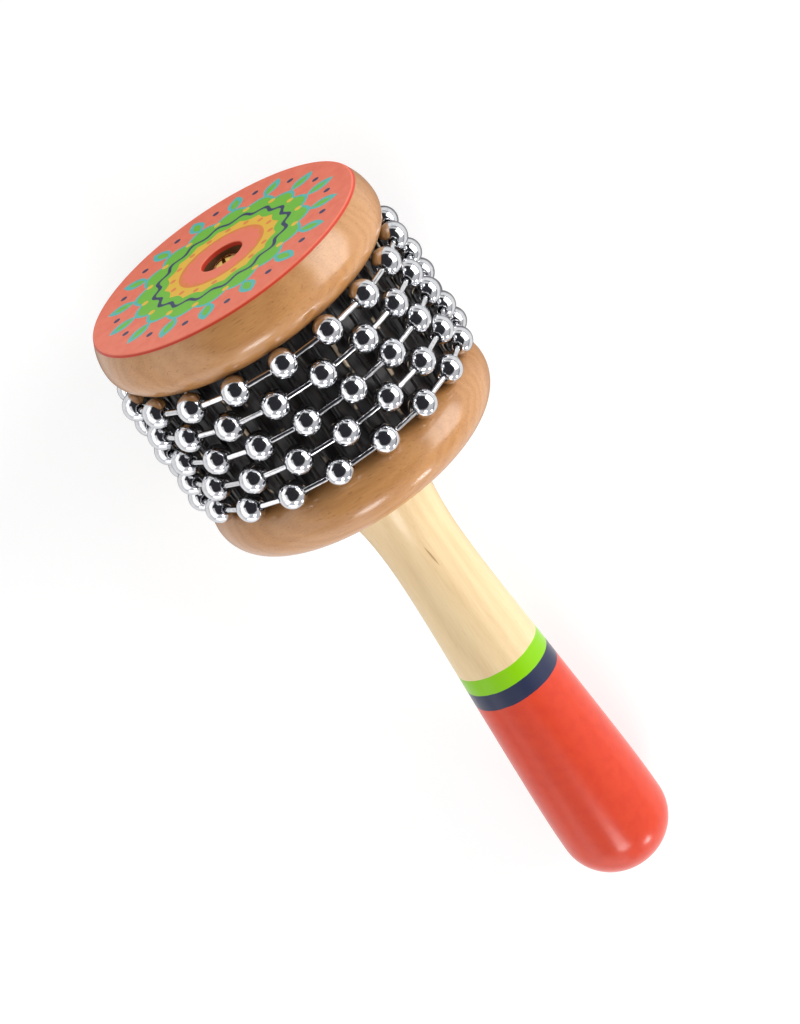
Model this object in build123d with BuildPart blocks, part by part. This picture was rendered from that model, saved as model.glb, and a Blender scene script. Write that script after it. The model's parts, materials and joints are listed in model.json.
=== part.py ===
from build123d import *
from math import asin, atan2, cos, degrees, hypot, radians, sin, sqrt
import os

# A hand-held cabasa as it lies on a table. Units are millimetres.
# The head's axis lies in the XZ plane: the printed face looks to +X and a little up,
# because the part rests on the widest part of its lower rim and on the end of its handle.
# Axial distances are counted from the printed face toward the handle.
# The origin is on the table, at the middle of the part's footprint.

# Rims
rim_radius = 40.0
rim_thickness = 15.5
face_inset = 2.3
foot_inset = 4.8
rim_edge_break = 0.5

# Bead strands
bead_diameter = 7.6
bead_wall = 0.7
bead_hole_diameter = 2.0
bead_count = 18
strand_turns = (5.5, 14.8, 0.7, 10.0, 0.0)
strand_inset = 1.8
strand_clearance = 0.12
strand_rim_clearance = 0.25
link_diameter = 1.5
link_knob_diameter = 2.2
link_knob_inset = 2.0

# Core and ribbed scraper sleeve
sleeve_clearance = 0.75
sleeve_thickness = 0.8
sleeve_fit = 0.05
sleeve_end_gap = 0.2
rib_radius = 0.8
rib_rise = 0.6
rib_count = 48
seam_width = 0.5
seam_angle = 150.0
tack_shank_diameter = 1.0
tack_length = 8.0
tack_head_diameter = 2.2
tack_head_height = 0.4
tack_hole_clearance = 0.05
tack_inset = 4.0

# Screw through the head
counterbore_diameter = 12.0
counterbore_depth = 4.0
screw_diameter = 4.0
screw_length = 52.0
screw_tip_length = 5.0
screw_head_diameter = 8.0
screw_head_height = 2.4
screw_head_edge = 1.0
screw_hole_clearance = 0.25
screw_grip_clearance = 0.05
recess_length = 4.4
recess_width = 1.0
recess_depth = 1.5
washer_diameter = 11.0
washer_thickness = 0.8

# Handle
tenon_radius = 8.0
tenon_fit = 0.1
tenon_in_core = 18.0
tenon_end_gap = 0.5
flare_radius = 17.5
neck_radius = 10.35
neck_from_head = 28.3
lower_neck_radius = 11.5
lower_neck_from_head = 55.3
upper_grip_radius = 13.25
upper_grip_from_head = 83.3
grip_radius = 15.25
grip_from_head = 126.3
end_corner_radius = 13.9
end_corner_turn = 60.0

# Share of a quarter curve's radius at which its control points lie
quarter_curve = 0.5523

# Rim section: a flat outer face, a side that swells out to the widest circle, a half-round nose
face_radius = rim_radius - face_inset
foot_radius = rim_radius - foot_inset
nose_radius = rim_thickness / 2
nose_centre = rim_radius - nose_radius
face_arc = (face_inset**2 + nose_radius**2) / (2 * face_inset)
foot_arc = (foot_inset**2 + nose_radius**2) / (2 * foot_inset)
face_arc_turn = degrees(asin(nose_radius / face_arc))
foot_arc_turn = degrees(asin(nose_radius / foot_arc))

# The drum is as long as its strands need, and the ribs end just inside the balls
bead_radius = bead_diameter / 2
bead_step = 360 / bead_count
strand_count = len(strand_turns)
strand_radius = rim_radius - strand_inset
strand_pitch = bead_diameter + strand_clearance
ball_to_nose = nose_radius + bead_radius + strand_rim_clearance
strand_end_room = sqrt(ball_to_nose**2 - (strand_radius - nose_centre) ** 2) - nose_radius
core_length = (strand_count - 1) * strand_pitch + 2 * strand_end_room
core_top = rim_thickness
core_foot = core_top + core_length
head_length = core_foot + rim_thickness
sleeve_radius = strand_radius - bead_radius - sleeve_clearance - rib_rise
core_radius = sleeve_radius - sleeve_thickness - sleeve_fit

# Handle stations, and its end: a round corner that runs into a flatter cap
tenon_top = core_foot - tenon_in_core
neck_at = head_length + neck_from_head
grip_at = head_length + grip_from_head
corner_centre = grip_radius - end_corner_radius
cap_radius = end_corner_radius + corner_centre / cos(radians(end_corner_turn))
cap_centre = grip_at - (cap_radius - end_corner_radius) * sin(radians(end_corner_turn))
overall_length = cap_centre + cap_radius

# Screw stations
screw_seat = counterbore_depth - washer_thickness
screw_head_top = screw_seat - screw_head_height
screw_end = screw_seat + screw_length

# How it lies: the table touches the lower rim's outer arc and the round corner of the handle's end
rim_contact = core_foot + nose_radius
contact_drop = (rim_radius - foot_arc) - corner_centre
contact_run = grip_at - rim_contact
rest_tilt = atan2(contact_drop, contact_run)
rest_tilt += asin((foot_arc - end_corner_radius) / hypot(contact_drop, contact_run))
face_x = (cap_centre * cos(rest_tilt) + cap_radius - face_radius * sin(rest_tilt)) / 2
face_z = rim_contact * sin(rest_tilt) + (rim_radius - foot_arc) * cos(rest_tilt) + foot_arc
toward_face = Vector(cos(rest_tilt), 0, sin(rest_tilt))
upward = Vector(-sin(rest_tilt), 0, cos(rest_tilt))
face_middle = Vector(face_x, 0, face_z)

# Turned sections are drawn with x outward from the axis and y from the face to the handle
section_plane = Plane(origin=face_middle, x_dir=upward, z_dir=(0, -1, 0))
head_axis = Axis(face_middle, toward_face)


def cross_plane(station):
    """Plane across the axis at a distance from the face: x points up, the normal to the face."""
    return Plane(origin=face_middle - toward_face * station, x_dir=upward, z_dir=toward_face)


os.makedirs("parts", exist_ok=True)

# Upper rim: printed face outside, nose toward the balls, counterbored for the screw
with BuildPart() as upper_rim:
    with BuildSketch(section_plane):
        with BuildLine():
            Line((0, 0), (face_radius, 0))
            CenterArc((rim_radius - face_arc, nose_radius), face_arc, -face_arc_turn, face_arc_turn)
            CenterArc((nose_centre, nose_radius), nose_radius, 0, 90)
            Polyline((nose_centre, rim_thickness), (0, rim_thickness), (0, 0))
        outline = make_face()
        fillet(outline.vertices().sort_by_distance((face_radius, 0, 0))[0], rim_edge_break)
    revolve(axis=head_axis)
    with BuildSketch(cross_plane(0)):
        Circle(counterbore_diameter / 2)
    extrude(amount=-counterbore_depth, mode=Mode.SUBTRACT)
    with BuildSketch(cross_plane(counterbore_depth)):
        Circle(screw_diameter / 2 + screw_hole_clearance)
    extrude(amount=counterbore_depth - rim_thickness, mode=Mode.SUBTRACT)
upper_rim.part.label = "upper_rim"
export_step(upper_rim.part, "parts/upper_rim.step")

# Lower rim: nose toward the balls, foot face against the handle's flare, bored for the tenon
socket_radius = tenon_radius + tenon_fit
with BuildPart() as lower_rim:
    with BuildSketch(section_plane):
        with BuildLine():
            Line((socket_radius, core_foot), (nose_centre, core_foot))
            CenterArc((nose_centre, rim_contact), nose_radius, -90, 90)
            CenterArc((rim_radius - foot_arc, rim_contact), foot_arc, 0, foot_arc_turn)
            Polyline((foot_radius, head_length), (socket_radius, head_length), (socket_radius, core_foot))
        make_face()
    revolve(axis=head_axis)
lower_rim.part.label = "lower_rim"
export_step(lower_rim.part, "parts/lower_rim.step")

# Core drum: screw hole right through, socket for the tenon at the lower end, tack holes
tack_spread = 2 * 360 / rib_count
tack_start = seam_angle - tack_spread / 2
tack_planes = (cross_plane(core_top + tack_inset), cross_plane(core_foot - tack_inset))
tack_hole_radius = tack_shank_diameter / 2 + tack_hole_clearance
with BuildPart() as core:
    with BuildSketch(cross_plane(core_foot)):
        Circle(core_radius)
        Circle(screw_diameter / 2 + screw_hole_clearance, mode=Mode.SUBTRACT)
    extrude(amount=core_length)
    with BuildSketch(cross_plane(core_foot)):
        Circle(socket_radius)
    extrude(amount=tenon_in_core + tenon_end_gap, mode=Mode.SUBTRACT)
    for tack_plane in tack_planes:
        with Locations(tack_plane):
            with PolarLocations(sleeve_radius, 2, tack_start, tack_spread, endpoint=True):
                Cylinder(tack_hole_radius, 2 * tack_length, rotation=(0, 90, 0), mode=Mode.SUBTRACT)
core.part.label = "core"
export_step(core.part, "parts/core.step")

# Scraper sleeve: bent sheet with ribs along the axis, a butt seam and tack holes
rib_start = seam_angle + 180 / rib_count
with BuildPart() as scraper_sleeve:
    with BuildSketch(cross_plane(core_foot - sleeve_end_gap)):
        Circle(sleeve_radius)
        with PolarLocations(sleeve_radius + rib_rise - rib_radius, rib_count, start_angle=rib_start):
            Circle(rib_radius)
        Circle(sleeve_radius - sleeve_thickness, mode=Mode.SUBTRACT)
        with PolarLocations(sleeve_radius, 1, start_angle=seam_angle):
            Rectangle(2 * sleeve_radius, seam_width, mode=Mode.SUBTRACT)
    extrude(amount=core_length - 2 * sleeve_end_gap)
    for tack_plane in tack_planes:
        with Locations(tack_plane):
            with PolarLocations(sleeve_radius, 2, tack_start, tack_spread, endpoint=True):
                Cylinder(tack_hole_radius, 2 * tack_length, rotation=(0, 90, 0), mode=Mode.SUBTRACT)
scraper_sleeve.part.label = "scraper_sleeve"
export_step(scraper_sleeve.part, "parts/scraper_sleeve.step")

# Tacks: flat heads on the sleeve in the valleys beside the seam, shanks in the core
head_out = (Align.CENTER, Align.CENTER, Align.MIN)
shank_in = (Align.CENTER, Align.CENTER, Align.MAX)
with BuildPart() as sleeve_tacks:
    for tack_plane in tack_planes:
        with Locations(tack_plane):
            with PolarLocations(sleeve_radius, 2, tack_start, tack_spread, endpoint=True):
                Cylinder(tack_head_diameter / 2, tack_head_height, rotation=(0, 90, 0), align=head_out)
                Cylinder(tack_shank_diameter / 2, tack_length, rotation=(0, 90, 0), align=shank_in)
sleeve_tacks.part.label = "sleeve_tacks"
export_step(sleeve_tacks.part, "parts/sleeve_tacks.step")

# Centre screw: domed head with a cross recess, plain shank, pointed tip
dome_rise = screw_head_height - screw_head_edge
dome_radius = ((screw_head_diameter / 2) ** 2 + dome_rise**2) / (2 * dome_rise)
dome_turn = degrees(asin(screw_head_diameter / 2 / dome_radius))
with BuildPart() as centre_screw:
    with BuildSketch(section_plane):
        with BuildLine():
            CenterArc((0, screw_head_top + dome_radius), dome_radius, -90, dome_turn)
            Polyline(
                (screw_head_diameter / 2, screw_seat - screw_head_edge),
                (screw_head_diameter / 2, screw_seat),
                (screw_diameter / 2, screw_seat),
                (screw_diameter / 2, screw_end - screw_tip_length),
                (0, screw_end),
                (0, screw_head_top),
            )
        make_face()
    revolve(axis=head_axis)
    with BuildSketch(cross_plane(screw_head_top)):
        Rectangle(recess_length, recess_width)
        Rectangle(recess_width, recess_length)
    extrude(amount=-recess_depth, mode=Mode.SUBTRACT)
centre_screw.part.label = "centre_screw"
export_step(centre_screw.part, "parts/centre_screw.step")

# Washer under the screw head, on the floor of the counterbore
with BuildPart() as screw_washer:
    with BuildSketch(cross_plane(counterbore_depth)):
        Circle(washer_diameter / 2)
        Circle(screw_diameter / 2 + screw_hole_clearance, mode=Mode.SUBTRACT)
    extrude(amount=washer_thickness)
screw_washer.part.label = "screw_washer"
export_step(screw_washer.part, "parts/screw_washer.step")

# Handle: tenon, flare under the head, neck, grip and blunt end, bored for the screw
with BuildPart() as handle:
    with BuildSketch(section_plane):
        with BuildLine():
            Polyline(
                (0, tenon_top),
                (tenon_radius, tenon_top),
                (tenon_radius, head_length),
                (flare_radius, head_length),
            )
            Bezier(
                (flare_radius, head_length),
                (flare_radius - quarter_curve * (flare_radius - neck_radius), head_length),
                (neck_radius, neck_at - quarter_curve * neck_from_head),
                (neck_radius, neck_at),
            )
            Spline(
                (neck_radius, neck_at),
                (lower_neck_radius, head_length + lower_neck_from_head),
                (upper_grip_radius, head_length + upper_grip_from_head),
                (grip_radius, grip_at),
                tangents=[(0, 1), (0, 1)],
            )
            CenterArc((corner_centre, grip_at), end_corner_radius, 0, end_corner_turn)
            CenterArc((0, cap_centre), cap_radius, end_corner_turn, 90 - end_corner_turn)
            Line((0, overall_length), (0, tenon_top))
        make_face()
    revolve(axis=head_axis)
    with BuildSketch(cross_plane(tenon_top)):
        Circle(screw_diameter / 2 + screw_grip_clearance)
    extrude(amount=tenon_top - screw_end - tenon_end_gap, mode=Mode.SUBTRACT)
handle.part.label = "handle"
export_step(handle.part, "parts/handle.step")

# One hollow ball, drilled along Y, which becomes the strand's own direction when it is placed
with BuildPart() as bead:
    Sphere(bead_radius)
    Sphere(bead_radius - bead_wall, mode=Mode.SUBTRACT)
    Cylinder(bead_hole_diameter / 2, 2 * bead_diameter, rotation=(90, 0, 0), mode=Mode.SUBTRACT)

# One link: a straight pin that leaves each neighbouring ball at the middle of its hole,
# with a knob inside the ball at each end
half_step = radians(bead_step / 2)
link_radius = strand_radius * cos(half_step) + bead_radius * sin(half_step)
link_half = strand_radius * sin(half_step) - bead_radius * cos(half_step) + link_knob_inset
with BuildPart() as link:
    Cylinder(link_diameter / 2, 2 * link_half, rotation=(90, 0, 0))
    with Locations((0, link_half, 0), (0, -link_half, 0)):
        Sphere(link_knob_diameter / 2)

# Five strands side by side, each turned by its own angle round the head
for index, turn in enumerate(strand_turns):
    strand_plane = cross_plane(core_top + strand_end_room + index * strand_pitch)
    with BuildPart(strand_plane) as strand_beads:
        with PolarLocations(strand_radius, bead_count, start_angle=turn):
            add(bead.part)
    strand_beads.part.label = f"strand_{index + 1}_beads"
    export_step(strand_beads.part, f"parts/strand_{index + 1}_beads.step")
    with BuildPart(strand_plane) as strand_links:
        with PolarLocations(link_radius, bead_count, start_angle=turn + bead_step / 2):
            add(link.part)
    strand_links.part.label = f"strand_{index + 1}_links"
    export_step(strand_links.part, f"parts/strand_{index + 1}_links.step")
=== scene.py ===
# %% [markdown]
# # A hand cabasa lying on a white table
# A cabasa is a wooden drum with strings of steel balls round it: shaken or rubbed, the balls
# scrape over a ribbed sleeve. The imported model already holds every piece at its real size, so
# this lesson starts from it and only adds what the eye sees: smooth turned surfaces, grain,
# lacquer, print and plating. Everything is in metres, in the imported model's own frame.

# %% Load the frame
import json
import math

import bpy
import numpy as np
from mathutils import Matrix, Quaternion, Vector


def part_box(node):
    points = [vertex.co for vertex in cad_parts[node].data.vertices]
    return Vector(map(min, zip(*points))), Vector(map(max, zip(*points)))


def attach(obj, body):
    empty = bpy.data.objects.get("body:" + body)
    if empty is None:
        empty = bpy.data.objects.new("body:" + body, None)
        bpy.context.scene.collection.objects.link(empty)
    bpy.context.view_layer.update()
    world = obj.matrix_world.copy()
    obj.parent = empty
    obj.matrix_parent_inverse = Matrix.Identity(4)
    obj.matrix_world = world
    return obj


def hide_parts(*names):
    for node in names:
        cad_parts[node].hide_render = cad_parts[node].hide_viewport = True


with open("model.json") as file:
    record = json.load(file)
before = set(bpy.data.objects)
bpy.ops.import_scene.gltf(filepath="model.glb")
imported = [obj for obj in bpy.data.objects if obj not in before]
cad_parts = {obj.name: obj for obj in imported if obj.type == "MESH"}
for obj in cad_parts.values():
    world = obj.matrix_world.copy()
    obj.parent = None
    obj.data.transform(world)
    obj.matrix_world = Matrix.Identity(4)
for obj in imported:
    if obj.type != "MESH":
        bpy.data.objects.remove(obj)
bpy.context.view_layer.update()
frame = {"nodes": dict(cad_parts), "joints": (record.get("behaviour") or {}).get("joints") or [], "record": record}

# %% [markdown]
# ## The head's axis
# Rims, handle, sleeve and strands are turned, rolled or strung about one line. It could be
# measured on the meshes, but the record gives it exactly: each strand's joint turns about it,
# and the mount on the printed face says where the face is. Places are then given as a lathe
# operator would give them: a radius, a station (the distance from the face toward the handle)
# and an angle from the top.

# %% The head's axis, from the record
MM = 0.001
strand_joints = frame["joints"]
mounts = {mount["name"]: mount for mount in frame["record"]["mounts"]}
axis = np.array(strand_joints[0]["axis"], float)
axis /= np.linalg.norm(axis)
upward = np.cross(axis, (0.0, 1.0, 0.0))
sideways = np.array((0.0, -1.0, 0.0))
on_axis = np.array(strand_joints[0]["pos_m"], float)
on_face = np.array(mounts["printed_face"]["pos_m"], float)
face_middle = on_axis + axis * ((on_face - on_axis) @ axis)
rest_tilt = math.atan2(axis[2], axis[0])
print("face middle", face_middle.round(4), "tilt", round(math.degrees(rest_tilt), 2), "degrees")


def head_place(radius, station, angle):
    """Places on the head: the face's middle, less station along the axis,
    plus radius times (cosine of the angle upward and sine of the angle sideways)."""
    outward = np.cos(angle)[..., None] * upward + np.sin(angle)[..., None] * sideways
    return face_middle - np.asarray(station)[..., None] * axis + np.asarray(radius)[..., None] * outward


# %% [markdown]
# ## Camera
# The photograph looks steeply down at the instrument, with the printed face away from the
# viewer's feet. A long lens keeps the two rims nearly the same size. A camera set by eye is soon
# a few degrees off, so these numbers were fitted to the rim of the face and to the places of the
# balls. The camera is aimed at a point a little above the table and stands back from it along a
# direction given by azimuth and elevation; the half-turn roll puts the face at the top left.

# %% Camera
camera_aim = Vector((0.01536, 0.0007, 0.03015))
camera_distance = 0.804
camera_azimuth = 57.877
camera_elevation = 73.849
camera_roll = 179.985
camera_lens = 110.0


def direction(azimuth, elevation):
    """Unit vector toward an azimuth and elevation in degrees: azimuth 0 is -Y and 90 is +X."""
    around, above = math.radians(azimuth), math.radians(elevation)
    level = math.cos(above)
    return Vector((math.sin(around) * level, -math.cos(around) * level, math.sin(above)))


camera_back = direction(camera_azimuth, camera_elevation)
camera = bpy.data.objects.new("camera", bpy.data.cameras.new("camera"))
camera.data.lens = camera_lens
camera.location = camera_aim + camera_back * camera_distance
camera.rotation_mode = "QUATERNION"
level_turn = camera_back.to_track_quat("Z", "Y")
camera.rotation_quaternion = level_turn @ Quaternion((0, 0, 1), -math.radians(camera_roll))
bpy.context.scene.collection.objects.link(camera)
bpy.context.scene.camera = camera
print("camera at", [round(x, 3) for x in camera.location])

# %% [markdown]
# ## Formulas as nodes
# A finish is a formula over the surface: how far round, how deep in the ring, how near an
# edge. Wiring Math nodes by hand hides such formulas, so a small class carries a socket and
# lets plain arithmetic add the nodes. Colours are written as they look on screen, 0 to 255,
# and turned into the linear numbers that Blender works in.


# %% Arithmetic on surface values
class Field:
    """A number that changes over a surface. Arithmetic with it adds Math nodes to its material."""

    def __init__(self, socket):
        self.socket = socket

    def math(self, operation, *others):
        """Any operation of the Math node, such as SINE, with this value first."""
        tree = self.socket.id_data
        node = tree.nodes.new("ShaderNodeMath")
        node.operation = operation
        for entry, value in zip(node.inputs, (self, *others)):
            feed(tree, entry, value)
        return Field(node.outputs[0])

    def __add__(self, other):
        return self.math("ADD", other)

    def __sub__(self, other):
        return self.math("SUBTRACT", other)

    def __mul__(self, other):
        return self.math("MULTIPLY", other)

    def __truediv__(self, other):
        return self.math("DIVIDE", other)

    def between(self, low, high):
        """0 below low, 1 above high, an S-curve from one to the other; low may be the larger."""
        tree = self.socket.id_data
        node = tree.nodes.new("ShaderNodeMapRange")
        node.interpolation_type = "SMOOTHSTEP"
        feed(tree, node.inputs["Value"], self)
        feed(tree, node.inputs["From Min"], low)
        feed(tree, node.inputs["From Max"], high)
        return Field(node.outputs["Result"])


def feed(tree, entry, value):
    """Give a node's input a field, a socket, a colour or a number."""
    if isinstance(value, Field):
        value = value.socket
    if isinstance(value, bpy.types.NodeSocket):
        tree.links.new(value, entry)
    else:
        entry.default_value = value


def colour(red, green, blue):
    """A screen colour, 0 to 255, as linear red, green, blue and a full alpha."""
    screen = np.array((red, green, blue)) / 255
    linear = np.where(screen <= 0.04045, screen / 12.92, ((screen + 0.055) / 1.055) ** 2.4)
    return (*linear.tolist(), 1.0)


def blend(first, second, amount):
    """First colour where amount is 0, second where it is 1."""
    tree = amount.socket.id_data
    node = tree.nodes.new("ShaderNodeMix")
    node.data_type = "RGBA"
    feed(tree, node.inputs["Factor"], amount)
    feed(tree, node.inputs[6], first)
    feed(tree, node.inputs[7], second)
    return node.outputs[2]


print("half-way grey on screen is", round(colour(128, 128, 128)[0], 3), "in linear light")

# %% [markdown]
# ## Where a finish is on the head
# Grain, bands and print all follow the head, which lies tilted. Each piece could have a UV map,
# but wood is cut through a solid board, so a place in space suits it better: a Mapping node turns
# Object coordinates into the head's own millimetres, x toward the face, y across, z upward.
# Noise is read from those, stretched where the material has a direction.


# %% Coordinates and noise for finishes
def new_finish(name):
    """An empty node material: the material, its tree and its shader."""
    finish = bpy.data.materials.new(name)
    finish.use_nodes = True
    return finish, finish.node_tree, finish.node_tree.nodes["Principled BSDF"]


def set_shader(shader, **constants):
    """Numbers and colours that are the same all over the surface, by socket name."""
    for name, value in constants.items():
        shader.inputs[name.replace("_", " ")].default_value = value


def head_millimetres(tree):
    """Fields x, y, z of the surface in the head's own millimetres."""
    place = tree.nodes.new("ShaderNodeTexCoord")
    turn = tree.nodes.new("ShaderNodeMapping")
    turn.vector_type = "TEXTURE"
    turn.inputs["Location"].default_value = face_middle
    turn.inputs["Rotation"].default_value = (0.0, -rest_tilt, 0.0)
    turn.inputs["Scale"].default_value = (MM, MM, MM)
    tree.links.new(place.outputs["Object"], turn.inputs["Vector"])
    parts = tree.nodes.new("ShaderNodeSeparateXYZ")
    tree.links.new(turn.outputs["Vector"], parts.inputs["Vector"])
    return [Field(out) for out in parts.outputs]


def noise(x, y, z, scale, detail=2.0, roughness=0.5):
    """Cloudy noise, 0 to 1, about one cloud per unit divided by scale."""
    tree = x.socket.id_data
    place = tree.nodes.new("ShaderNodeCombineXYZ")
    for entry, value in zip(place.inputs, (x, y, z)):
        feed(tree, entry, value)
    node = tree.nodes.new("ShaderNodeTexNoise")
    node.inputs["Scale"].default_value = scale
    node.inputs["Detail"].default_value = detail
    node.inputs["Roughness"].default_value = roughness
    tree.links.new(place.outputs["Vector"], node.inputs["Vector"])
    return Field(node.outputs["Fac"])


def relief(shader, height, depth):
    """Bump: height, 0 to 1, stands for a real depth in metres."""
    tree = height.socket.id_data
    bump = tree.nodes.new("ShaderNodeBump")
    bump.inputs["Strength"].default_value = 1.0
    bump.inputs["Distance"].default_value = depth
    feed(tree, bump.inputs["Height"], height)
    tree.links.new(bump.outputs["Normal"], shader.inputs["Normal"])


# %% [markdown]
# ## Room
# Polished balls are small round mirrors, so what stands about them is half of their look. A
# built room would do, but a world that answers each kind of ray by its direction needs no walls:
# the camera sees plain white, matt surfaces get an even light, and reflections show white walls
# under a dark ceiling. The balls show that ceiling as their black centres, and a dark skirting
# on the right as a thin dark ring.

# %% Room
room = bpy.data.worlds.new("white_room")
bpy.context.scene.world = room
room.use_nodes = True
room_tree = room.node_tree
room_tree.nodes.clear()
room_light, mirrored_light, seen_light = 0.42, 0.92, 1.0
wall_white, end_wall_grey, ceiling_dark = (1.0, 1.0, 1.0, 1.0), colour(226, 226, 229), colour(54, 54, 58)
ceiling_lean_x, ceiling_lean_y, ceiling_edge = 0.35, 0.1, (0.57, 0.65)
skirting_height, skirting_side, skirting_depth = (0.04, -0.02), (-0.30, -0.55), 0.85
end_wall_side = (-0.25, -0.7)


def light_path(tree, name):
    """1 for rays of one kind, such as Is Camera Ray, and 0 for the others."""
    node = next((n for n in tree.nodes if n.type == "LIGHT_PATH"), None)
    return Field((node or tree.nodes.new("ShaderNodeLightPath")).outputs[name])


def room_shade(tint, strength):
    """One background of the room: the colour that a kind of ray meets."""
    node = room_tree.nodes.new("ShaderNodeBackground")
    feed(room_tree, node.inputs["Color"], tint)
    node.inputs["Strength"].default_value = strength
    return node.outputs["Background"]


def room_mix(first, second, amount):
    """First background where amount is 0, second where it is 1."""
    node = room_tree.nodes.new("ShaderNodeMixShader")
    feed(room_tree, node.inputs["Fac"], amount)
    room_tree.links.new(first, node.inputs[1])
    room_tree.links.new(second, node.inputs[2])
    return node.outputs["Shader"]


look = room_tree.nodes.new("ShaderNodeTexCoord")
look_parts = room_tree.nodes.new("ShaderNodeSeparateXYZ")
room_tree.links.new(look.outputs["Generated"], look_parts.inputs["Vector"])
toward_x, toward_y, toward_z = [Field(out) for out in look_parts.outputs]
ceiling_slope = toward_z + toward_x * ceiling_lean_x - toward_y * ceiling_lean_y
ceiling = ceiling_slope.between(*ceiling_edge)
skirting = toward_z.between(*skirting_height) * toward_y.between(*skirting_side)
dark = ceiling.math("MAXIMUM", skirting * skirting_depth)
walls = blend(wall_white, end_wall_grey, toward_x.between(*end_wall_side))
in_reflection = light_path(room_tree, "Is Glossy Ray")
in_reflection = in_reflection.math("MAXIMUM", light_path(room_tree, "Is Transmission Ray"))
mirrored = room_shade(blend(walls, ceiling_dark, dark), mirrored_light)
plain = room_shade(wall_white, room_light)
white = room_shade(wall_white, seen_light)
lit_or_mirrored = room_mix(plain, mirrored, in_reflection)
shown = room_mix(lit_or_mirrored, white, light_path(room_tree, "Is Camera Ray"))
room_out = room_tree.nodes.new("ShaderNodeOutputWorld")
room_tree.links.new(shown, room_out.inputs["Surface"])
print("room:", len(room_tree.nodes), "nodes")

# %% [markdown]
# ## Lamps
# Varnish and lacquer show the shape of what lights them, so the lamps are soft boxes and not
# points. One large box stands to the right of the picture and low. A smaller one hangs beyond
# the handle's end, with a little one beside it for the spark on the red. Weak ones stand to the
# left, before the face and at the foot of the picture. The weak ones are wide: about as bright
# as the walls, they vanish among them in the balls.

# %% Lamps
lamp_aim = Vector((0.0, 0.0, 0.04))
lamp_distance = 0.9


def hang_lamp(name, shape, toward, size, power):
    """A soft box, size in metres, that faces the instrument from (azimuth, elevation)."""
    lamp = bpy.data.lights.new(name, "AREA")
    lamp.shape = shape
    lamp.size, lamp.size_y = size
    lamp.energy = power
    box = bpy.data.objects.new(name, lamp)
    outward = direction(*toward)
    box.location = lamp_aim + outward * lamp_distance
    box.rotation_mode = "QUATERNION"
    box.rotation_quaternion = outward.to_track_quat("Z", "Y")
    box.visible_camera = False
    bpy.context.scene.collection.objects.link(box)
    print(name, "of", power, "W at", [round(x, 2) for x in box.location])


hang_lamp("key_box", "RECTANGLE", toward=(8.0, 18.0), size=(0.9, 0.56), power=9.0)
hang_lamp("end_box", "ELLIPSE", toward=(-97.0, 38.0), size=(0.32, 0.24), power=2.4)
hang_lamp("spark_box", "ELLIPSE", toward=(-67.0, 6.0), size=(0.16, 0.16), power=1.4)
hang_lamp("fill_box", "RECTANGLE", toward=(178.0, 32.0), size=(1.1, 0.72), power=2.3)
hang_lamp("face_box", "RECTANGLE", toward=(128.0, 14.0), size=(0.6, 0.42), power=0.7)
hang_lamp("foot_box", "RECTANGLE", toward=(238.0, 8.0), size=(0.8, 0.5), power=1.5)

# %% [markdown]
# ## Table
# The instrument lies on a white sheet. A plane would end in a line across the picture, so the
# sheet is a round disc, points on rings and spokes, that thins out into the white of the room.
# It glows a little toward the camera and in reflections, which makes it white and still lets it
# take the shadow. Close under the head, reflections show the sheet without that glow, in a
# painted grey shade there: this draws a thin line round the balls at the edge of the band.

# %% Sheet shape
floor_reach = 0.9
floor_rings, floor_spokes = 24, 64
floor_radius = np.linspace(0.0, floor_reach, floor_rings)[1:, None]
floor_angle = np.linspace(0.0, 2 * np.pi, floor_spokes, endpoint=False)[None, :]
floor_x = (floor_radius * np.cos(floor_angle)).ravel()
floor_y = (floor_radius * np.sin(floor_angle)).ravel()
floor_points = np.stack([floor_x, floor_y, np.zeros_like(floor_x)], axis=1)


def ring_quads(rings, spokes, closed):
    """Quads between neighbouring rings of points; closed joins the last ring to the first."""
    ring = np.arange(rings if closed else rings - 1)[:, None]
    spoke = np.arange(spokes)[None, :]
    following, beside = (ring + 1) % rings, (spoke + 1) % spokes
    corners = (ring * spokes + spoke, ring * spokes + beside)
    corners += (following * spokes + beside, following * spokes + spoke)
    return np.stack(corners, axis=-1).reshape(-1, 4)


def fan(tip, ring_start, spokes, outward):
    """Triangles from one tip point to a ring of points."""
    spoke = np.arange(spokes)
    beside = (spoke + 1) % spokes
    first, second = (spoke, beside) if outward else (beside, spoke)
    return np.stack([np.full(spokes, tip), ring_start + first, ring_start + second], axis=1)


floor_quads = ring_quads(floor_rings - 1, floor_spokes, closed=False)[:, ::-1]
floor_tip = len(floor_points)
floor_middle = fan(floor_tip, 0, floor_spokes, outward=True)
floor_mesh = bpy.data.meshes.new("floor")
all_floor_points = np.vstack([floor_points, np.zeros((1, 3))])
floor_mesh.from_pydata(all_floor_points.tolist(), [], floor_quads.tolist() + floor_middle.tolist())
floor = bpy.data.objects.new("floor", floor_mesh)
bpy.context.scene.collection.objects.link(floor)
print("floor:", len(floor_mesh.polygons), "faces")

# %% Sheet finish
fade_reach, shade_reach = (0.62, 0.30), (0.095, 0.065)
shade_middle = np.mean(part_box("strand_3_beads"), axis=0) * (1.0, 1.0, 0.0)
floor_glow = 0.62
floor_white, floor_toward_eye = (0.86, 0.86, 0.86, 1.0), (0.46, 0.46, 0.46, 1.0)
# Painted shade: a grey base colour close under the head, seen only in reflections.
shade_grey = colour(142, 142, 146)
paper, paper_tree, paper_shader = new_finish("white_paper")
set_shader(paper_shader, Roughness=0.9, Specular_IOR_Level=0.0, Emission_Color=wall_white)
paper_place = paper_tree.nodes.new("ShaderNodeTexCoord")


def paper_distance(middle):
    """Distance of the sheet's surface from a point on it."""
    node = paper_tree.nodes.new("ShaderNodeVectorMath")
    node.operation = "DISTANCE"
    paper_tree.links.new(paper_place.outputs["Object"], node.inputs[0])
    node.inputs[1].default_value = middle
    return Field(node.outputs["Value"])


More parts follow.
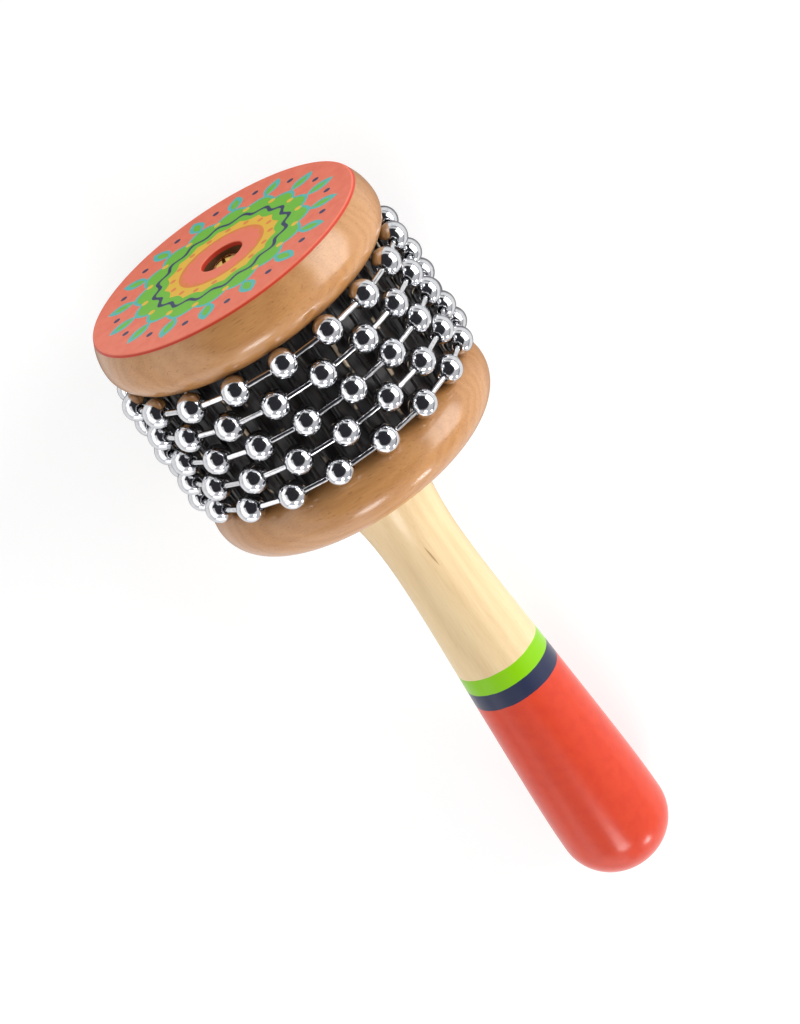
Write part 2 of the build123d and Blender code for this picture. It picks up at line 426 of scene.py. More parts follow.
paper_left = paper_distance((0.0, 0.0, 0.0)).between(*fade_reach)
paper_mirrored = light_path(paper_tree, "Is Glossy Ray")
paper_seen = light_path(paper_tree, "Is Camera Ray").math("MAXIMUM", paper_mirrored)
paper_shade = paper_distance(shade_middle.tolist()).between(*shade_reach) * paper_mirrored
paper_tint = blend(floor_white, floor_toward_eye, paper_seen)
feed(paper_tree, paper_shader.inputs["Base Color"], blend(paper_tint, shade_grey, paper_shade))
feed(paper_tree, paper_shader.inputs["Emission Strength"], (paper_seen - paper_shade) * floor_glow)
feed(paper_tree, paper_shader.inputs["Alpha"], paper_left)
floor_mesh.materials.append(paper)
print("sheet shaded about", shade_middle.round(3))

# %% [markdown]
# ## Putting points into a mesh
# Each piece below is worked out as whole arrays of points and of faces. If the faces
# came out inside the shape, its signed volume is negative and they are turned over. Edges
# sharper than a set angle stay crisp; everything else is shaded smooth.

# %% From arrays to a piece
crisp_edge = math.radians(32)


def signed_volume(points, triangles):
    """A sixth of the sum, over triangles, of first corner times (second cross third)."""
    a, b, c = (points[triangles[:, k]] for k in range(3))
    return np.einsum("ij,ij->", a, np.cross(b, c)) / 6


def make_piece(name, points, quads, triangles=None, finish=None):
    """A closed mesh object at the origin, with outward faces and smooth shading."""
    triangles = np.empty((0, 3), int) if triangles is None else triangles
    halves = np.vstack([quads[:, (0, 1, 2)], quads[:, (0, 2, 3)], triangles])
    if signed_volume(points - points.mean(axis=0), halves) < 0:
        quads, triangles = quads[:, ::-1], triangles[:, ::-1]
    mesh = bpy.data.meshes.new(name)
    mesh.from_pydata(points.tolist(), [], quads.tolist() + triangles.tolist())
    mesh.shade_smooth()
    mesh.set_sharp_from_angle(angle=crisp_edge)
    mesh.materials.append(finish)
    piece = bpy.data.objects.new(name, mesh)
    bpy.context.scene.collection.objects.link(piece)
    print(name, "has", len(points), "points and", len(quads) + len(triangles), "faces")
    return piece


# %% [markdown]
# ## Turned wood
# The rims and the handle come off a lathe, so each is a section carried round the axis. A Screw
# modifier could do that; a whole array does it in one line and says where every ring is. A
# section is a list of corners and arcs in millimetres, radius first and station second. One
# that closes on itself makes a ring; one that starts and ends on the axis gets a single point
# at each end, where the surface closes.


# %% Turning a section
def arc(centre, radius, start, end, count):
    """Points of a circle in the section: centre plus radius times (cosine, sine) of the angle."""
    turn = np.radians(np.linspace(start, end, count))
    return np.stack([centre[0] + radius * np.cos(turn), centre[1] + radius * np.sin(turn)], axis=1)


def turned_piece(name, section, finish, spokes=192):
    """Carry a section in millimetres round the head's axis, on evenly spaced spokes."""
    section = np.vstack(section) * MM
    angle = np.linspace(0.0, 2 * np.pi, spokes, endpoint=False)
    on_the_axis = section[:, 0] < 1e-9
    rings = section[~on_the_axis]
    around = np.broadcast_to(angle, (len(rings), spokes))
    points = head_place(rings[:, :1] + 0 * around, rings[:, 1:] + 0 * around, around).reshape(-1, 3)
    if not on_the_axis.any():
        return make_piece(name, points, ring_quads(len(rings), spokes, closed=True), None, finish)
    tips = face_middle - section[on_the_axis][:, 1:] * axis
    last_ring = (len(rings) - 1) * spokes
    ends = np.vstack([
        fan(len(points), 0, spokes, outward=False),
        fan(len(points) + 1, last_ring, spokes, outward=True),
    ])
    quads = ring_quads(len(rings), spokes, closed=False)
    return make_piece(name, np.vstack([points, tips]), quads, ends, finish)


print("a quarter arc in three points:", arc((0.0, 0.0), 1.0, 0, 90, 3).round(2).tolist())

# %% [markdown]
# ## Beech for the rims
# The rims are discs of steamed beech under a gloss varnish. The grain runs straight across
# the disc, so the near side shows long streaks and the two ends show end grain. A picture of
# beech would have to be wrapped round the nose of the rim; a formula in space is cut by the
# surface, as the board is by the chisel. The growth rings are circles round a far-off tree
# centre, wavering a little; fibres are noise stretched along the grain; the short dark dashes
# are beech's own flecks.


# %% Wood figure
def wood_figure(along, across, deep, heart, ring_width, waver):
    """Rings, fibres and flecks of a board, each 0 to 1, from lengths along and across its grain.
    Rings: a sine of the distance from the tree's heart over the ring width, plus wavering noise.
    Fibres and flecks: noise read with the length along the grain shrunk, which stretches it."""
    drift = noise(across, along * 0.12, deep, 0.09, 3.0) * waver
    out_across, out_deep = across - heart[0], deep - heart[1]
    distance = (out_across * out_across + out_deep * out_deep).math("SQRT") + drift
    rings = (distance * (2 * math.pi / ring_width)).math("SINE") * 0.5 + 0.5
    fibres = noise(across, along * 0.035, deep, 2.6, 4.0, 0.6)
    flecks = noise(across, along * 0.16, deep, 1.9, 1.0).between(0.64, 0.74)
    return rings, fibres, flecks


def beech_varnish(name, heart):
    """Varnished beech with its grain across the head."""
    finish, tree, shader = new_finish(name)
    x, y, z = head_millimetres(tree)
    rings, fibres, flecks = wood_figure(y, x, z, heart, ring_width=3.4, waver=14.0)
    patches = noise(x, y * 0.3, z, 0.045, 2.0)
    shade = rings * 0.14 + fibres * 0.55 + patches * 0.5
    wood = blend(colour(193, 139, 82), colour(163, 108, 57), shade.between(0.25, 1.0))
    wood = blend(wood, colour(118, 72, 38), flecks * 0.34)
    # Painted shade: inside the bore, within about 6.2 to 6.6 mm of the axis, the wood is darkened to dark brown,
    # as shade falls in the deep hole.
    bore_edge, bore_shade_strength = (6.6, 6.2), 0.85
    bore_shade_mask = (y * y + z * z).math("SQRT").between(*bore_edge)
    wood = blend(wood, colour(66, 38, 24), bore_shade_mask * bore_shade_strength)
    feed(tree, shader.inputs["Base Color"], wood)
    feed(tree, shader.inputs["Roughness"], fibres * 0.16 + 0.42)
    relief(shader, fibres * 0.5 + flecks * -0.4 + 0.4, depth=0.03 * MM)
    set_shader(shader, Coat_Weight=0.75, Coat_Roughness=0.2, Specular_IOR_Level=0.35)
    return finish


# %% Rim sizes
rim_radius, rim_thickness = 40.0, 15.5
face_inset, foot_inset, edge_break = 2.3, 4.8, 0.5
nose_radius = rim_thickness / 2
nose_centre = rim_radius - nose_radius
counterbore_radius, counterbore_depth, counterbore_lip = 6.0, 4.0, 0.3
screw_hole_radius, tenon_hole_radius = 2.25, 8.1
core_top, core_foot = rim_thickness, 51.26
head_length = core_foot + rim_thickness
print("the head is", round(head_length, 2), "mm long")


# %% Upper rim's section
def swell(inset):
    """Radius of the arc that falls back by inset over half a rim's thickness."""
    return (inset**2 + nose_radius**2) / (2 * inset)


beside_edge = 0.25
face_swell = swell(face_inset)
swell_centre = rim_radius - face_swell
break_reach = math.sqrt((face_swell - edge_break) ** 2 - (nose_radius - edge_break) ** 2)
break_centre = (swell_centre + break_reach, edge_break)
break_end = -math.degrees(math.atan2(nose_radius - edge_break, break_reach))
lip_centre = (counterbore_radius + counterbore_lip, counterbore_lip)

upper_section = [
    [(screw_hole_radius, core_top), (screw_hole_radius, counterbore_depth)],
    [(counterbore_radius, counterbore_depth), (counterbore_radius, counterbore_lip + beside_edge)],
    arc(lip_centre, counterbore_lip, 180, 270, 5),
    [(lip_centre[0] + beside_edge, 0.0), (break_centre[0] - beside_edge, 0.0)],
    arc(break_centre, edge_break, -90, break_end, 7),
    arc((swell_centre, nose_radius), face_swell, break_end, 0, 14)[1:],
    arc((nose_centre, nose_radius), nose_radius, 0, 90, 26)[1:],
    [(nose_centre - beside_edge, core_top)],
]
print("the upper rim swells on an arc of", round(face_swell, 2), "mm")

# %% Lower rim's section
foot_swell = swell(foot_inset)
foot_turn = math.degrees(math.asin(nose_radius / foot_swell))
lower_middle = core_foot + nose_radius
foot_radius = rim_radius - foot_inset
lower_section = [
    [(tenon_hole_radius, core_foot), (nose_centre - beside_edge, core_foot)],
    arc((nose_centre, lower_middle), nose_radius, -90, 0, 26),
    arc((rim_radius - foot_swell, lower_middle), foot_swell, 0, foot_turn, 22)[1:],
    [(foot_radius - beside_edge, head_length), (tenon_hole_radius, head_length)],
]
print("the lower rim swells on an arc of", round(foot_swell, 2), "mm")

# %% Rims
upper_beech = beech_varnish("upper_rim_beech", heart=(-38.0, -62.0))
lower_beech = beech_varnish("lower_rim_beech", heart=(-18.0, 74.0))
for rim_name, rim_section, rim_finish in (
    ("upper_rim", upper_section, upper_beech),
    ("lower_rim", lower_section, lower_beech),
):
    rim = turned_piece(rim_name + "_turned", rim_section, rim_finish)
    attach(rim, "body")
    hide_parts(rim_name)

# %% [markdown]
# ## Handle
# The handle is one stick of pale wood: a tenon that is glued into the head, a flare under the
# lower rim, a slim neck and a swelling grip with a blunt end. A free spline through many points
# would ripple, so the flare is one Bezier curve and the neck one polynomial through four
# measured radii, level at both ends. The lower half was dipped in lacquer: green, navy, then
# red to the end, each over the last, so every band ends in a slightly uneven raised edge. One
# short dark streak of grain marks the neck.

# %% Handle shape
tenon_radius, tenon_top, bore_radius, bore_end = 8.0, core_foot - 18.0, 2.05, 55.7
flare_radius, neck_radius, neck_at = 17.5, 10.35, head_length + 28.3
grip_radius, grip_at = 15.25, head_length + 126.3
between_radii = {head_length + 55.3: 11.5, head_length + 83.3: 13.25}
end_corner_radius, end_corner_turn = 13.9, 60.0
quarter_curve = 0.5523


def flare_curve(count):
    """Bezier curve that leaves the foot face level and arrives at the neck along the axis."""
    t = np.linspace(0.0, 1.0, count)[:, None]
    start, end = np.array((flare_radius, head_length)), np.array((neck_radius, neck_at))
    pull_in = start - (quarter_curve * (flare_radius - neck_radius), 0.0)
    pull_out = end - (0.0, quarter_curve * (neck_at - head_length))
    early = start * (1 - t) ** 3 + 3 * pull_in * t * (1 - t) ** 2
    return early + 3 * pull_out * t**2 * (1 - t) + end * t**3


def neck_curve(count):
    """Fifth-degree polynomial through the four radii, with no slope at the neck and the grip."""
    length = grip_at - neck_at
    knots = np.array([neck_at, *between_radii, grip_at])
    radii = np.array([neck_radius, *between_radii.values(), grip_radius])
    share = (knots - neck_at) / length
    power = np.arange(6)
    values = share[:, None] ** power
    slopes = power * np.array([[0.0], [1.0]]) ** np.maximum(power - 1, 0)
    weights = np.linalg.solve(np.vstack([values, slopes]), np.append(radii, (0.0, 0.0)))
    t = np.linspace(0.0, 1.0, count)
    return np.stack([(t[:, None] ** power) @ weights, neck_at + t * length], axis=1)


corner_centre = grip_radius - end_corner_radius
corner_turn = math.radians(end_corner_turn)
cap_radius = end_corner_radius + corner_centre / math.cos(corner_turn)
cap_centre = grip_at - (cap_radius - end_corner_radius) * math.sin(corner_turn)
handle_section = [
    [(0.0, bore_end), (bore_radius, bore_end), (bore_radius, tenon_top)],
    [(tenon_radius, tenon_top), (tenon_radius, head_length)],
    flare_curve(28),
    neck_curve(60)[1:],
    arc((corner_centre, grip_at), end_corner_radius, 0, end_corner_turn, 20)[1:],
    arc((0.0, cap_centre), cap_radius, end_corner_turn, 90, 14)[1:-1],
    [(0.0, cap_centre + cap_radius)],
]
print("the handle ends", round(cap_centre + cap_radius, 1), "mm behind the face")

# %% Handle finish
green_from, navy_from, red_from = 131.4, 136.5, 141.5
lacquer_edge, lacquer_step = 0.06, 0.2
streak_at, streak_across, streak_slope = 93.9, 1.93, 0.084
streak_half_length, streak_half_width, streak_depth = 3.9, 0.3, 0.7
leaf_green, navy_blue, coral_red = colour(129, 192, 2), colour(40, 46, 72), colour(206, 66, 40)


def handle_lacquer():
    """Pale wood along the axis, with three dipped bands of lacquer on the grip."""
    finish, tree, shader = new_finish("handle_wood_and_lacquer")
    x, y, z = head_millimetres(tree)
    rings, fibres, flecks = wood_figure(x, y, z, heart=(46.0, 30.0), ring_width=4.2, waver=9.0)
    patches = noise(x * 0.25, y, z, 0.08, 2.0)
    shade = rings * 0.18 + fibres * 0.45 + patches * 0.45
    wood = blend(colour(229, 204, 161), colour(210, 180, 135), shade.between(0.3, 1.0))
    wood = blend(wood, colour(190, 152, 104), flecks * 0.12)
    from_streak = x + streak_at
    streak_side = (y + streak_across - from_streak * streak_slope).math("ABSOLUTE")
    taper = from_streak * from_streak * (-1 / streak_half_length**2) + 1.0
    streak = (taper * streak_half_width - streak_side).between(-0.06, 0.2) * z.between(0.0, 1.0)
    wood = blend(wood, colour(150, 108, 66), streak * streak_depth)
    station = x * -1.0 + noise(x, y, z, 0.16, 2.0) * 0.5 - 0.25
    mottle = noise(x, y, z, 0.35, 3.0)
    red = blend(coral_red, colour(199, 60, 38), mottle.between(0.3, 0.8))
    skin = wood
    for start, paint in ((green_from, leaf_green), (navy_from, navy_blue), (red_from, red)):
        skin = blend(skin, paint, station.between(start - lacquer_edge, start + lacquer_edge))
    feed(tree, shader.inputs["Base Color"], skin)
    lacquered = station.between(green_from - lacquer_edge, green_from + lacquer_edge)
    bare = lacquered * -1.0 + 1.0
    feed(tree, shader.inputs["Roughness"], bare * (fibres * 0.2 + 0.06) + mottle * 0.04 + 0.3)
    navy_step = station.between(navy_from - lacquer_step, navy_from + lacquer_step)
    red_step = station.between(red_from - lacquer_step, red_from + lacquer_step)
    height = lacquered * 0.3 + (navy_step + red_step) * 0.2 + bare * fibres * 0.2 + mottle * 0.05
    relief(shader, height, depth=0.06 * MM)
    set_shader(shader, Coat_Weight=0.36, Coat_Roughness=0.2, Specular_IOR_Level=0.12)
    return finish


handle = turned_piece("handle_turned", handle_section, handle_lacquer(), spokes=160)
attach(handle, "body")
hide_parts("handle")

# %% [markdown]
# ## Print on the face
# The face carries a screen print on a coral ground: rings of leaves, scallops and dots. The
# ink is a thin film, which also runs a little way down the counterbore and over the broken edge.
# A picture file would blur when seen close. Each motif here is a formula in polar coordinates,
# repeated by folding the angle into equal sectors, so it stays sharp at any size.

# %% Ink film
ink_thickness, ink_down_bore, ink_down_side = 0.05, 1.2, 0.55
ink_bore = counterbore_radius - ink_thickness
ink_edge = edge_break + ink_thickness
ink_turn = break_end + math.degrees(ink_down_side / face_swell)
ink_section = [
    [(counterbore_radius, ink_down_bore), (ink_bore, ink_down_bore)],
    [(ink_bore, counterbore_lip + beside_edge)],
    arc(lip_centre, counterbore_lip + ink_thickness, 180, 270, 5),
    [(lip_centre[0] + beside_edge, -ink_thickness), (break_centre[0] - beside_edge, -ink_thickness)],
    arc(break_centre, ink_edge, -90, break_end, 7),
    arc((swell_centre, nose_radius), face_swell + ink_thickness, break_end, ink_turn, 3)[1:],
    arc((swell_centre, nose_radius), face_swell, ink_turn, break_end, 3),
    arc(break_centre, edge_break, break_end, -90, 7)[1:],
    [(break_centre[0] - beside_edge, 0.0), (lip_centre[0] + beside_edge, 0.0)],
    arc(lip_centre, counterbore_lip, 270, 180, 5),
]
print("the ink reaches", round(ink_turn - break_end, 2), "degrees down the side of the rim")

# %% Motifs
ink_blur, petals = 0.05, 16


def sector(angle, count, offset, radius):
    """Arc length from the middle of the nearest of count sectors: the angle's fraction of a
    sector, less a half, times the sector's width at this radius."""
    share = (angle * (count / (2 * math.pi)) + offset).math("FRACT") - 0.5
    return share * radius * (2 * math.pi / count)


def leaf(across, radius, middle, half_length, half_width):
    """Inside a leaf with two points: half width times (1 less the square of the share of its
    length), less the distance across it; positive inside."""
    share = (radius - middle) / half_length
    return (share * share * -1.0 + 1.0) * half_width - across.math("ABSOLUTE")


def dot(across, radius, middle, size):
    """Inside a round dot: its size less the distance from its middle; positive inside."""
    out = radius - middle
    return (across * across + out * out).math("SQRT") * -1.0 + size


def ink(under, tint, inside):
    """Print a tint over what is there, where the shape's inside value is positive."""
    return blend(under, tint, inside.between(-ink_blur, ink_blur))


print(petals, "leaves round the face,", 360 / petals, "degrees apart")

# %% Print
scallop_foot, scallop_height, scallop_border = 22.6, 2.3, 1.0
wave_radius, wave_height, wave_half_width = 18.9, 0.8, 0.62
yellow_radius, yellow_dip, orange_radius = 16.6, 1.2, 12.4
middle_radius, middle_lobe = 10.6, 0.9
ink_shadow = (0.0, 0.3)


def printed_face():
    """Coral ground with a plain rosette: leaves outside, a scalloped green ring, a yellow ring."""
    finish, tree, shader = new_finish("face_print")
    x, y, z = head_millimetres(tree)
    ragged = noise(x, y, z, 2.2, 2.0) * 0.22 - 0.11
    radius = (y * y + z * z).math("SQRT") + ragged
    angle = z.math("ARCTAN2", y)
    lobes = (angle * (petals / 2)).math("SINE").math("ABSOLUTE")
    wave = (angle * petals).math("COSINE") * wave_height
    on_leaf, off_leaf = sector(angle, petals, 0.0, radius), sector(angle, petals, 0.5, radius)
    cloud = noise(x, y, z, 0.3, 3.0)
    turquoise, green = colour(92, 196, 190), colour(122, 200, 62)
    navy, yellow, orange = colour(58, 66, 102), colour(246, 196, 66), colour(240, 140, 70)
    coral, deep_coral = colour(251, 132, 104), colour(245, 122, 96)
    skin = blend(coral, deep_coral, cloud.between(0.3, 0.8))
    skin = ink(skin, turquoise, leaf(on_leaf, radius, middle=29.6, half_length=4.2, half_width=2.3))
    skin = ink(skin, green, leaf(on_leaf, radius, middle=29.2, half_length=2.7, half_width=1.15))
    skin = ink(skin, navy, dot(off_leaf, radius, middle=30.6, size=0.95))
    scallop = lobes * scallop_height + scallop_foot
    skin = ink(skin, turquoise, scallop + scallop_border - radius)
    skin = ink(skin, green, scallop - radius)
    skin = ink(skin, navy, (radius - wave_radius - wave).math("ABSOLUTE") * -1.0 + wave_half_width)
    skin = ink(skin, yellow, dot(off_leaf, radius, middle=22.3, size=1.0))
    skin = ink(skin, yellow, lobes * -yellow_dip + yellow_radius - radius)
    skin = ink(skin, orange, dot(on_leaf, radius, middle=14.3, size=0.85))
    skin = ink(skin, orange, radius * -1.0 + orange_radius)
    skin = ink(skin, coral, lobes * middle_lobe + middle_radius - radius)
    skin = blend(skin, colour(196, 62, 44), (x * -1.0).between(*ink_shadow))
    feed(tree, shader.inputs["Base Color"], skin)
    feed(tree, shader.inputs["Roughness"], cloud * 0.14 + 0.36)
    grain = noise(x, y * 0.035, z, 2.2, 3.0)
    relief(shader, grain * 0.7 + cloud * 0.3, depth=0.02 * MM)
    set_shader(shader, Specular_IOR_Level=0.25)
    return finish


face_print = turned_piece("face_print", ink_section, printed_face(), spokes=192)
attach(face_print, "body")

# %% [markdown]
# ## Ribbed sleeve
# Between the rims the drum wears a sleeve of thin steel, pressed into forty-eight ribs and
# painted dark. Ribs could be bumps in the finish, but bumps have no outline, and these show
# between the balls. So the section is a circle that follows the rib wherever the rib stands
# higher, with a narrow gap at the seam; that closed section is carried straight along the axis.
# The balls rub the crests, so in patches the paint there is worn down to metal, shown pale cream: partly wear,
# partly a painted highlight along the crests.

# %% Sleeve shape
sleeve_radius, sleeve_thickness = 33.05, 0.8
rib_radius, rib_rise, rib_count = 0.8, 0.6, 48
seam_width, seam_angle, sleeve_end_gap = 0.5, math.radians(150.0), 0.2
points_per_rib = 18


def sleeve_outside(angle):
    """Sleeve radius at an angle from the seam: the plain circle, or the outer side of the rib's
    circle where that is larger (its centre's distance times the cosine, plus the half chord)."""
    pitch = 2 * np.pi / rib_count
    from_rib = (angle % pitch) - pitch / 2
    rib_centre = sleeve_radius + rib_rise - rib_radius
    half_chord = np.sqrt(np.maximum(rib_radius**2 - (rib_centre * np.sin(from_rib)) ** 2, 0.0))
    rib = np.where(half_chord > 0, rib_centre * np.cos(from_rib) + half_chord, 0.0)
    return np.maximum(sleeve_radius, rib)


half_gap = seam_width / 2 / sleeve_radius
sleeve_angle = np.linspace(half_gap, 2 * np.pi - half_gap, rib_count * points_per_rib + 1)
outside = sleeve_outside(sleeve_angle)
inside = np.full_like(sleeve_angle, sleeve_radius - sleeve_thickness)
loop_radius = np.concatenate([outside, inside[::-1]])
loop_angle = np.concatenate([sleeve_angle, sleeve_angle[::-1]]) + seam_angle
sleeve_ends = np.array([core_top + sleeve_end_gap, core_foot - sleeve_end_gap])
loop_points = len(loop_angle)
sleeve_points = head_place(
    np.tile(loop_radius, 2) * MM, np.repeat(sleeve_ends, loop_points) * MM, np.tile(loop_angle, 2)
)
sleeve_walls = ring_quads(2, loop_points, closed=False)
step = np.arange(len(sleeve_angle) - 1)
far_side = loop_points - 1 - step
end_cap = np.stack([step, far_side, far_side - 1, step + 1], axis=1)
sleeve_quads = np.vstack([sleeve_walls, end_cap, end_cap[:, ::-1] + loop_points])
print("the ribs stand to", round(outside.max(), 2), "mm from the axis")

# %% Sleeve
# Crest patches are worn paint and a painted highlight, both shown as pale cream metal.
crest_wear_and_glint_edge = (sleeve_radius + 0.35, sleeve_radius + 0.6)


def dark_sleeve():
    """Dark paint, browner in streaks, with pale cream patches on the rib crests: worn paint and a painted
    highlight.
    """
    finish, tree, shader = new_finish("sleeve_dark_paint")
    x, y, z = head_millimetres(tree)
    radius = (y * y + z * z).math("SQRT")
    streak = noise(x * 0.12, y, z, 1.4, 3.0)
    patch = noise(x, y, z, 0.17, 1.0).between(0.62, 0.67)
    crest_wear_and_glint = (radius + streak * 0.2).between(*crest_wear_and_glint_edge) * patch
    # Dark paint, browner along noise streaks.
    streaked_dark_paint = blend(colour(20, 20, 23), colour(44, 35, 29), streak.between(0.4, 0.7))
    feed(tree, shader.inputs["Base Color"], blend(streaked_dark_paint, colour(196, 176, 150), crest_wear_and_glint))
    feed(tree, shader.inputs["Metallic"], crest_wear_and_glint * 0.6)
    feed(tree, shader.inputs["Roughness"], streak * 0.2 + 0.26)
    relief(shader, streak, depth=0.02 * MM)
    set_shader(shader, Specular_IOR_Level=0.4)
    return finish


sleeve = make_piece("sleeve_ribbed", sleeve_points, sleeve_quads, None, dark_sleeve())
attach(sleeve, "body")
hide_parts("scraper_sleeve")

# %% [markdown]
# ## Strands
# Each strand is a ring of ball chain: hollow plated balls, joined by short pins whose knobs
# are trapped inside. A ball is turned about its own hole, with the lip rolled in, and a pin
# about its own length, so both are one section carried round a short axis that lies along the
# strand. One ball could be copied seventeen times; here all eighteen are worked out together, as
# one array and one piece, because a strand moves as one. The joint gives the strand's middle;
# the first ball's angle is the strand's own turn round the head.


# %% Carrying a section along a strand
def threaded(section, spokes, ring_radius, angles, station):
    """Carry a section, millimetres out from and along the strand, round each place on the ring,
    which has its radius in millimetres and its station in metres.
    Place = ring place + along * tangent + out * (cosine * outward + sine * axis)."""
    turn = np.linspace(0.0, 2 * np.pi, spokes, endpoint=False)
    angle = np.asarray(angles)[:, None, None]
    out, along = section[None, :, :1], section[None, :, 1:]
    outward = np.cos(angle)[..., None] * upward + np.sin(angle)[..., None] * sideways
    tangent = np.cos(angle)[..., None] * sideways - np.sin(angle)[..., None] * upward
    swing = np.cos(turn)[None, None, :, None] * outward + np.sin(turn)[None, None, :, None] * axis
    middle = face_middle - station * axis + ring_radius * MM * outward
    return middle + along[..., None] * MM * tangent + out[..., None] * MM * swing


def repeated(faces, copies, points_each):
    """The same faces for each copy, numbered on by the points of the copies before it."""
    return (faces[None] + np.arange(copies)[:, None, None] * points_each).reshape(-1, faces.shape[1])


ball_count, strand_radius = 18, 38.2
ball_step = 2 * math.pi / ball_count
print(ball_count, "balls to a strand,", round(2 * math.pi * strand_radius / ball_count, 2), "mm apart")

# %% Ball
ball_radius, ball_wall, ball_hole = 3.8, 0.7, 1.0
lip_radius = ball_wall / 2
hole_turn = math.degrees(math.asin((ball_hole + lip_radius) / (ball_radius - lip_radius)))
lip_middle = (ball_radius - lip_radius) * math.cos(math.radians(hole_turn))
ball_section = np.vstack([
    arc((0.0, 0.0), ball_radius, hole_turn - 90, 90 - hole_turn, 25),
    arc((ball_hole + lip_radius, lip_middle), lip_radius, 90 - hole_turn, 270 - hole_turn, 7)[1:-1],
    arc((0.0, 0.0), ball_radius - ball_wall, 90 - hole_turn, hole_turn - 90, 7),
    arc((ball_hole + lip_radius, -lip_middle), lip_radius, 90 + hole_turn, 270 + hole_turn, 7)[1:-1],
])
ball_spokes = 36
ball_quads = ring_quads(len(ball_section), ball_spokes, closed=True)
print("a ball has", len(ball_quads), "faces")

# %% Pin
pin_radius, knob_radius, knob_inset = 0.75, 1.1, 2.0
half_step = ball_step / 2
pin_ring = strand_radius * math.cos(half_step) + ball_radius * math.sin(half_step)
pin_half = strand_radius * math.sin(half_step) - ball_radius * math.cos(half_step) + knob_inset
knob_turn = math.degrees(math.asin(pin_radius / knob_radius))
pin_section = np.vstack([
    arc((0.0, -pin_half), knob_radius, -90, 90 - knob_turn, 10)[1:],
    arc((0.0, pin_half), knob_radius, knob_turn - 90, 90, 10)[:-1],
])
pin_spokes = 16
pin_tips = np.array([(0.0, -pin_half - knob_radius), (0.0, pin_half + knob_radius)])
pin_quads = ring_quads(len(pin_section), pin_spokes, closed=False)
pin_points = len(pin_section) * pin_spokes + 2
pin_ends = np.vstack([
    fan(pin_points - 2, 0, pin_spokes, outward=False),
    fan(pin_points - 1, pin_points - 2 - pin_spokes, pin_spokes, outward=True),
])
print("a pin is", round(2 * (pin_half + knob_radius), 2), "mm long")


# %% Plating
def bright_plating(name, tint, dull):
    """Bright plating over pressed steel: faint dents, polishing haze and a few fine scratches."""
    finish, tree, shader = new_finish(name)
    x, y, z = head_millimetres(tree)
    dents = noise(x, y, z, 0.3, 1.0)
    haze = noise(x, y, z, 1.1, 3.0)
    scratches = noise(x, y * 0.15, z, 6.0, 1.0).between(0.66, 0.72)
    feed(tree, shader.inputs["Base Color"], blend(tint, dull, haze.between(0.45, 0.8)))
    feed(tree, shader.inputs["Roughness"], haze.between(0.4, 0.8) * 0.06 + scratches * 0.05 + 0.1)
    relief(shader, dents * 0.9 + scratches * 0.01, depth=0.05 * MM)
    set_shader(shader, Metallic=1.0)
    return finish


ball_plating = bright_plating("ball_plating", colour(208, 209, 212), colour(186, 186, 190))
pin_plating = bright_plating("pin_plating", colour(208, 208, 210), colour(174, 174, 176))

# %% Five strands
strand_turns = (5.5, 14.8, 0.7, 10.0, 0.0)
for joint, turn in zip(strand_joints, strand_turns):
    strand = joint["child"]
    station = (face_middle - np.array(joint["pos_m"])) @ axis
    ball_angles = math.radians(turn) + ball_step * np.arange(ball_count)
    balls = threaded(ball_section, ball_spokes, strand_radius, ball_angles, station)
    ball_faces = repeated(ball_quads, ball_count, len(ball_section) * ball_spokes)
    ball_piece = make_piece(strand + "_balls", balls.reshape(-1, 3), ball_faces, None, ball_plating)
    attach(ball_piece, strand)
    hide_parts(strand + "_beads")
    pin_angles = ball_angles + half_step
    shafts = threaded(pin_section, pin_spokes, pin_ring, pin_angles, station)
    tips = threaded(pin_tips, 1, pin_ring, pin_angles, station)
    pins = np.concatenate([shafts.reshape(ball_count, -1, 3), tips.reshape(ball_count, -1, 3)], axis=1)
    pin_piece = make_piece(
        strand + "_pins",
        pins.reshape(-1, 3),
        repeated(pin_quads, ball_count, pin_points),
        repeated(pin_ends, ball_count, pin_points),
        pin_plating,
    )
    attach(pin_piece, strand)
    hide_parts(strand + "_links")

# %% [markdown]
# ## Screw, washer, core and tacks
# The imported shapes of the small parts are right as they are, so they keep their meshes and
# only get finishes: yellow plating on the screw and its washer, bare wood on the core, plain
# steel on the tacks.


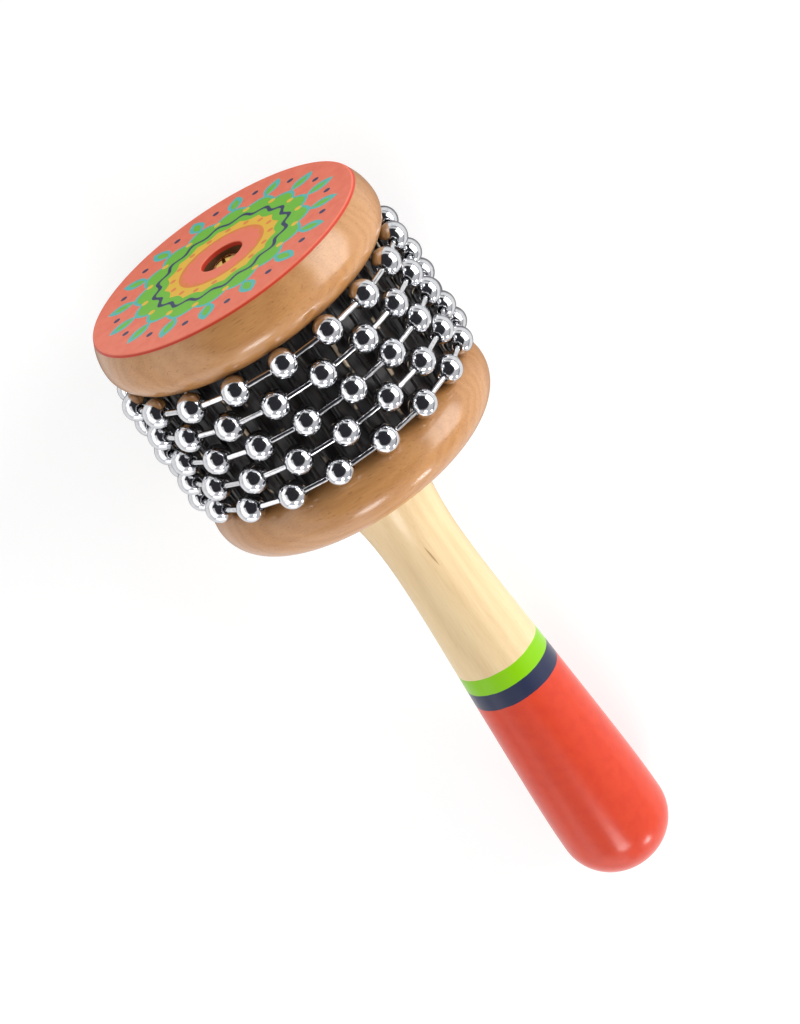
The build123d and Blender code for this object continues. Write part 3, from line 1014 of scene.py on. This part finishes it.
# %% Finishes of the small parts
def yellow_plating():
    """Yellow-plated steel: gold with a dull bloom."""
    finish, tree, shader = new_finish("screw_yellow_plating")
    x, y, z = head_millimetres(tree)
    bloom = noise(x, y, z, 0.9, 3.0)
    gold = blend(colour(222, 184, 92), colour(196, 150, 96), bloom.between(0.35, 0.75))
    feed(tree, shader.inputs["Base Color"], gold)
    feed(tree, shader.inputs["Roughness"], bloom * 0.2 + 0.16)
    relief(shader, bloom, depth=0.02 * MM)
    set_shader(shader, Metallic=1.0)
    return finish


def bare_core():
    """Unvarnished wood of the core, its grain along the axis."""
    finish, tree, shader = new_finish("core_bare_wood")
    x, y, z = head_millimetres(tree)
    rings, fibres, flecks = wood_figure(x, y, z, heart=(50.0, 20.0), ring_width=3.0, waver=10.0)
    wood = blend(colour(214, 172, 120), colour(170, 124, 78), rings * 0.4 + fibres * 0.6)
    feed(tree, shader.inputs["Base Color"], wood)
    feed(tree, shader.inputs["Roughness"], fibres * 0.2 + 0.6)
    relief(shader, fibres + flecks * 0.2, depth=0.06 * MM)
    return finish


def tack_steel():
    """Bright drawn steel."""
    finish, tree, shader = new_finish("tack_bright_steel")
    x, y, z = head_millimetres(tree)
    drawn = noise(x, y, z, 3.0, 2.0)
    feed(tree, shader.inputs["Base Color"], blend(colour(190, 190, 192), colour(150, 150, 154), drawn))
    feed(tree, shader.inputs["Roughness"], drawn * 0.2 + 0.2)
    relief(shader, drawn, depth=0.01 * MM)
    set_shader(shader, Metallic=1.0)
    return finish


screw_finish = yellow_plating()
small_finishes = {
    "centre_screw": screw_finish,
    "screw_washer": screw_finish,
    "core": bare_core(),
    "sleeve_tacks": tack_steel(),
}
for node, finish in small_finishes.items():
    materials = frame["nodes"][node].data.materials
    materials.clear()
    materials.append(finish)
print("small parts finished:", ", ".join(small_finishes))

# %% [markdown]
# ## View settings
# Colours are shown as they are written.

# %% View transform
bpy.context.scene.view_settings.view_transform = "Standard"
